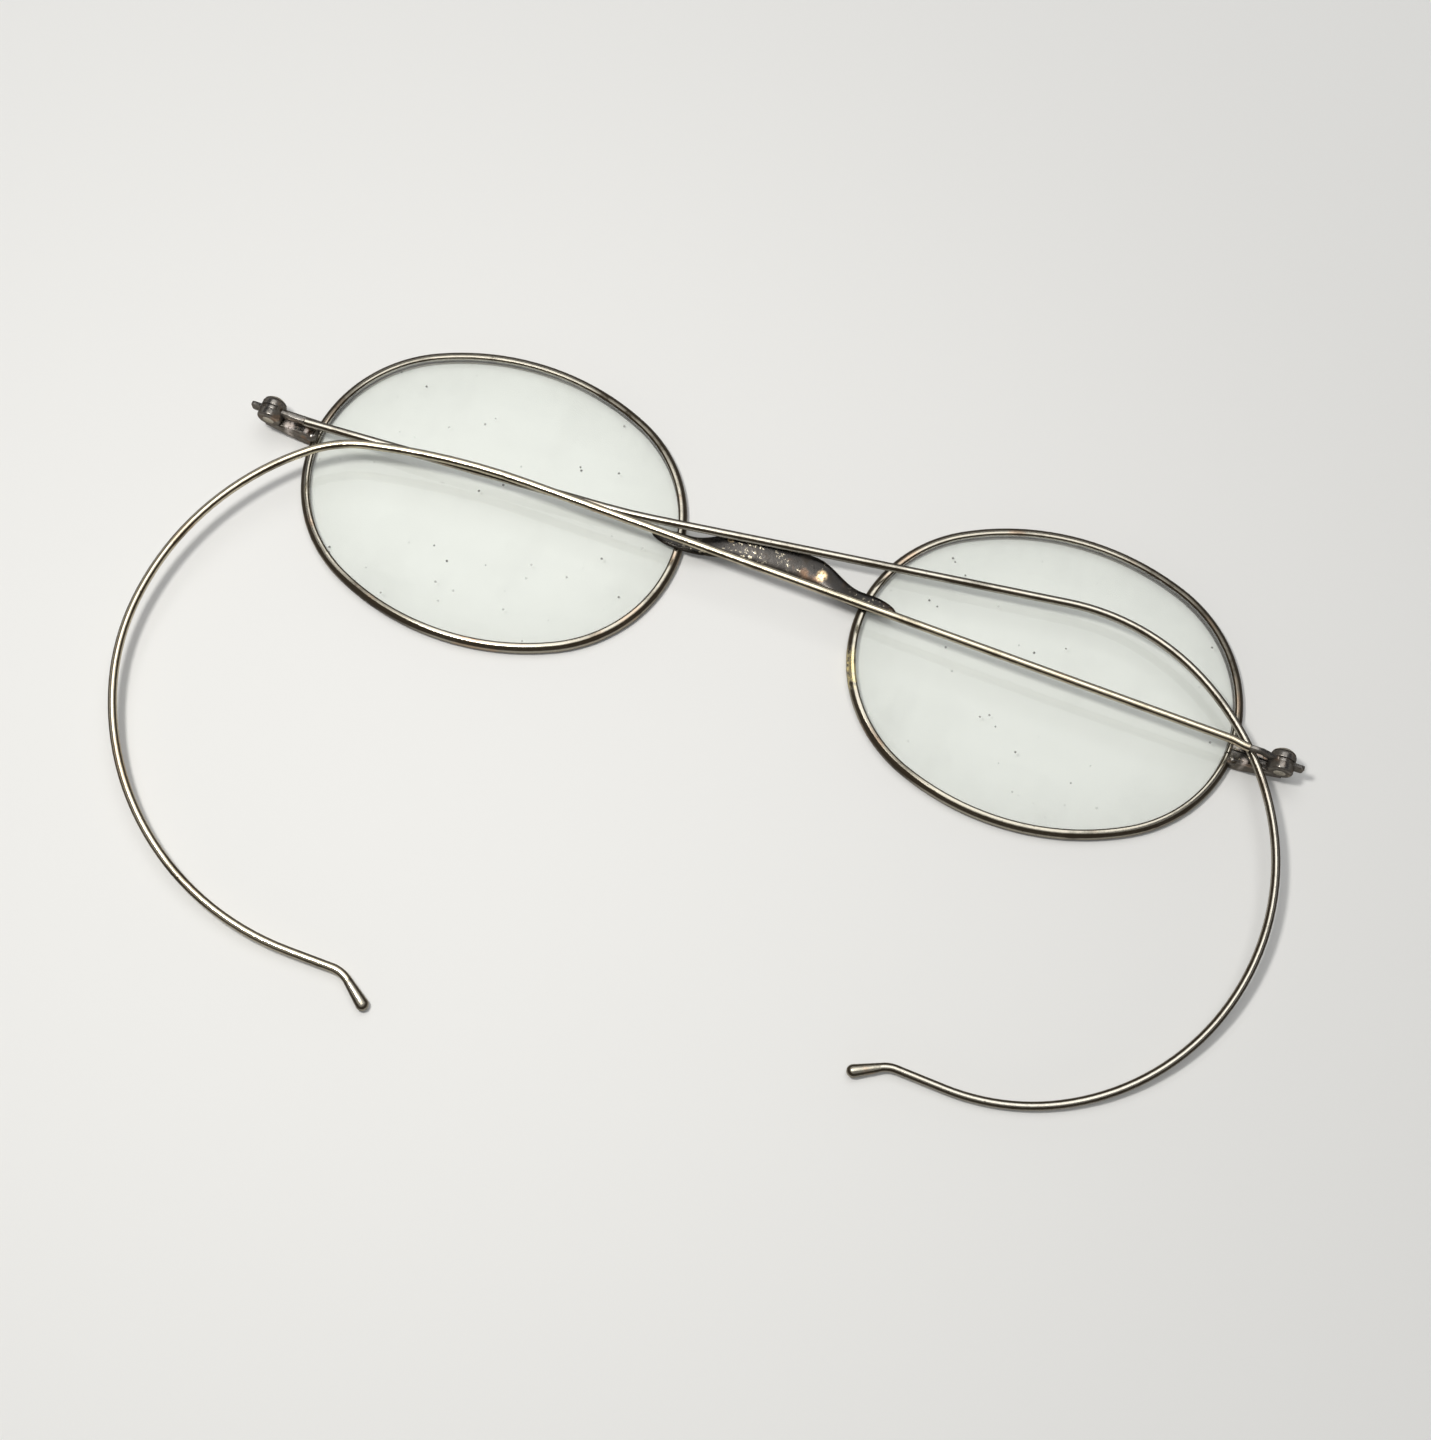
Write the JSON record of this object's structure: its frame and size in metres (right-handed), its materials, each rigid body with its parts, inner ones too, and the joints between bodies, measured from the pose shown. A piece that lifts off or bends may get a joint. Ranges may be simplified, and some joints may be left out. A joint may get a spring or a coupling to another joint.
{
  "type": "wire-rim eyeglasses",
  "caption": "Wire-rim eyeglasses with oval lenses, a saddle bridge and hinged wire temples that curl round the ears, folded.",
  "frame": {"origin": "on the resting plane (the rims' front faces), under the middle of the folded outline", "axes": "+Z from the rims' front faces towards the wearer, +Y up as worn, +X to the wearer's right"},
  "size_m": [0.114, 0.069, 0.0053],
  "materials": {
    "rim_metal": "worn gold-filled wire, greyed",
    "lens_glass": "clear, slightly hazy",
    "bridge_metal": "tarnished and scratched",
    "endpiece_metal": "tarnished, worn edges",
    "screw_metal": "worn, domed head",
    "butt_metal": "dull, darker than the wire",
    "temple_gold": "pale gold, polished by wear",
    "tip_metal": "rounded drop, satin"
  },
  "bodies": {
    "front": {"left_rim": "rim_metal", "right_rim": "rim_metal", "left_lens": "lens_glass", "right_lens": "lens_glass", "bridge": "bridge_metal", "left_endpiece_top": "endpiece_metal", "left_endpiece_bottom": "endpiece_metal", "right_endpiece_top": "endpiece_metal", "right_endpiece_bottom": "endpiece_metal", "left_hinge_screw": "screw_metal", "right_hinge_screw": "screw_metal"},
    "left_temple": {"left_temple_butt": "butt_metal", "left_temple_wire": "temple_gold", "left_temple_tip": "tip_metal"},
    "right_temple": {"right_temple_butt": "butt_metal", "right_temple_wire": "temple_gold", "right_temple_tip": "tip_metal"}
  },
  "joints": [
    {"name": "left_temple_hinge", "type": "hinge", "parent": "front", "child": "left_temple", "pos_m": [-0.0524, 0.0191, 0.00315], "axis": [0, -1, 0], "range_deg": [0, 90]},
    {"name": "right_temple_hinge", "type": "hinge", "parent": "front", "child": "right_temple", "pos_m": [0.054, 0.01705, 0.00315], "axis": [0, 1, 0], "range_deg": [0, 90]}
  ]
}
